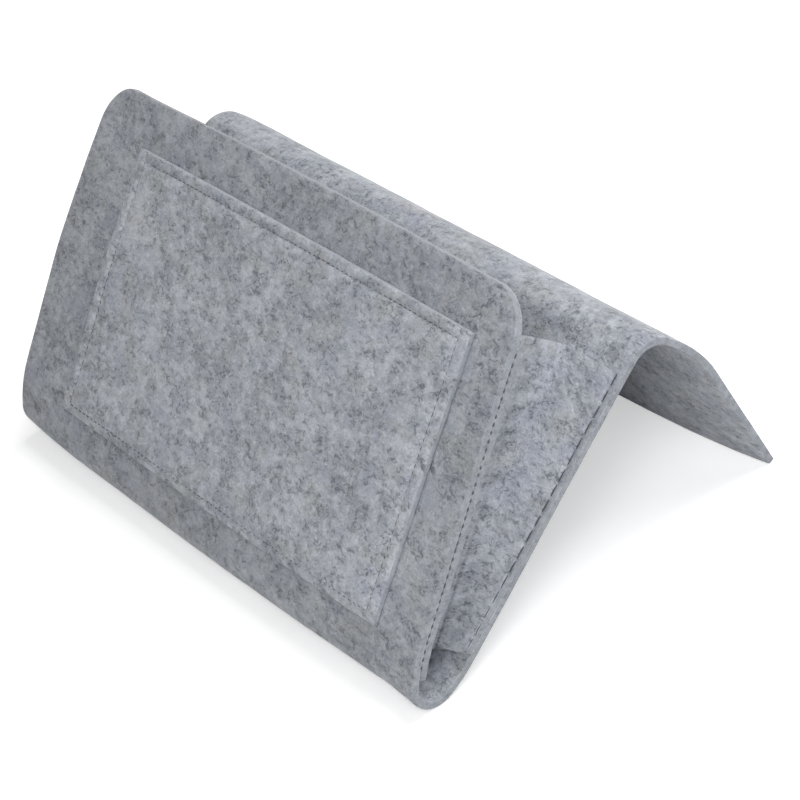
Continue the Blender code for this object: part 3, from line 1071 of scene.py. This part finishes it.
def floor():
    bm = bmesh.new()
    bmesh.ops.create_grid(bm, x_segments=1, y_segments=1, size=FLOOR_SIZE)
    bmesh.ops.translate(bm, verts=bm.verts, vec=(0, 0, -FLOOR_DROP))
    mesh = bpy.data.meshes.new("floor")
    bm.to_mesh(mesh)
    bm.free()
    made = bpy.data.objects.new("floor", mesh)
    bpy.context.scene.collection.objects.link(made)
    material = bpy.data.materials.new("pale_floor")
    material.use_nodes = True
    tree = material.node_tree
    shader = tree.nodes["Principled BSDF"]
    shader.inputs["Base Color"].default_value = (FLOOR_GREY, FLOOR_GREY, FLOOR_GREY, 1)
    shader.inputs["Roughness"].default_value = FLOOR_ROUGHNESS
    shader.inputs["Emission Color"].default_value = (1, 1, 1, 1)
    seen = node(tree, "ShaderNodeLightPath").outputs["Is Camera Ray"]
    place = node(tree, "ShaderNodeTexCoord").outputs["Object"]
    away = vectors(tree, "LENGTH", {0: place}, "Value")
    lift = times_plus(tree, ramp(tree, away, FADE_NEAR, FADE_FAR), 1 - FLOOR_LIFT, FLOOR_LIFT)
    tree.links.new(maths(tree, "MULTIPLY", seen, lift), shader.inputs["Emission Strength"])
    mesh.materials.append(material)


floor()
print("floor", 2 * FLOOR_SIZE, "m wide")

# %% [markdown]
# Felt has no shine to speak of, so the light only has to be broad and soft. The strongest lamp stands
# high behind the ridge, which is the palest place. Weaker ones fill the gusset and the front. One
# surrounding light would be simpler, but it would leave the panels equally bright.


# %% The light
def lamp(name, place, size, power):
    """A square soft lamp that looks at the middle of the organizer."""
    light = bpy.data.lights.new(name, "AREA")
    light.shape = "SQUARE"
    light.size = size
    light.energy = power
    made = bpy.data.objects.new(name, light)
    made.location = place
    made.rotation_mode = "QUATERNION"
    made.rotation_quaternion = (LIT_POINT - Vector(place)).to_track_quat("-Z", "Y")
    bpy.context.scene.collection.objects.link(made)


LIT_POINT = Vector((0, 0, 0.06))
lamp("high_softbox", (0.1, 0.9, 1.7), 0.9, 18.2)
lamp("back_softbox", (0.5, 1.2, 1.3), 0.9, 7.2)
lamp("camera_side_softbox", (0.95, -0.65, 1.1), 0.7, 8.6)
lamp("low_right_softbox", (1.5, 0.15, 0.35), 0.7, 4.2)
lamp("near_right_softbox", (0.8, -0.15, 0.8), 0.5, 1.4)
print("lamps", len(bpy.data.lights))

# %% The surrounding light, and the white that the camera sees
AMBIENT = 0.10
world = bpy.data.worlds.new("studio")
world.use_nodes = True
bpy.context.scene.world = world
tree = world.node_tree
tree.nodes.clear()
path = tree.nodes.new("ShaderNodeLightPath")
seen = maths(tree, "MAXIMUM", path.outputs["Is Camera Ray"], path.outputs["Is Glossy Ray"])
seen = maths(tree, "MAXIMUM", seen, path.outputs["Is Transmission Ray"])
ambient = node(tree, "ShaderNodeBackground", {"Color": (1, 1, 1, 1), "Strength": AMBIENT})
white = node(tree, "ShaderNodeBackground", {"Color": (1, 1, 1, 1), "Strength": 1.0})
both = node(tree, "ShaderNodeMixShader", {0: seen, 1: ambient.outputs[0], 2: white.outputs[0]})
node(tree, "ShaderNodeOutputWorld", {"Surface": both.outputs[0]})

# %% [markdown]
# The photograph is taken with a long lens, from the right, the front and above, and its frame is
# rolled. The camera is turned by a direction to look along and then rolled about it, which keeps the
# two apart better than three angles do.

# %% The camera
CAMERA_PLACE = Vector((0.9614, -0.4231, 0.7414))
CAMERA_AIM = Vector((0.0278, 0.0042, 0.0357))
CAMERA_ROLL = math.radians(-19.784)
LENS = 126.04
SENSOR = 36.0
camera = bpy.data.objects.new("camera", bpy.data.cameras.new("camera"))
camera.data.lens = LENS
camera.data.sensor_width = SENSOR
camera.location = CAMERA_PLACE
camera.rotation_mode = "QUATERNION"
level = (CAMERA_AIM - CAMERA_PLACE).to_track_quat("-Z", "Y")
camera.rotation_quaternion = level @ Quaternion((0, 0, 1), CAMERA_ROLL)
bpy.context.scene.collection.objects.link(camera)
bpy.context.scene.camera = camera
bpy.context.scene.view_settings.view_transform = "Standard"
print("camera", round((CAMERA_AIM - CAMERA_PLACE).length, 2), "m away")

bpy.context.view_layer.update()
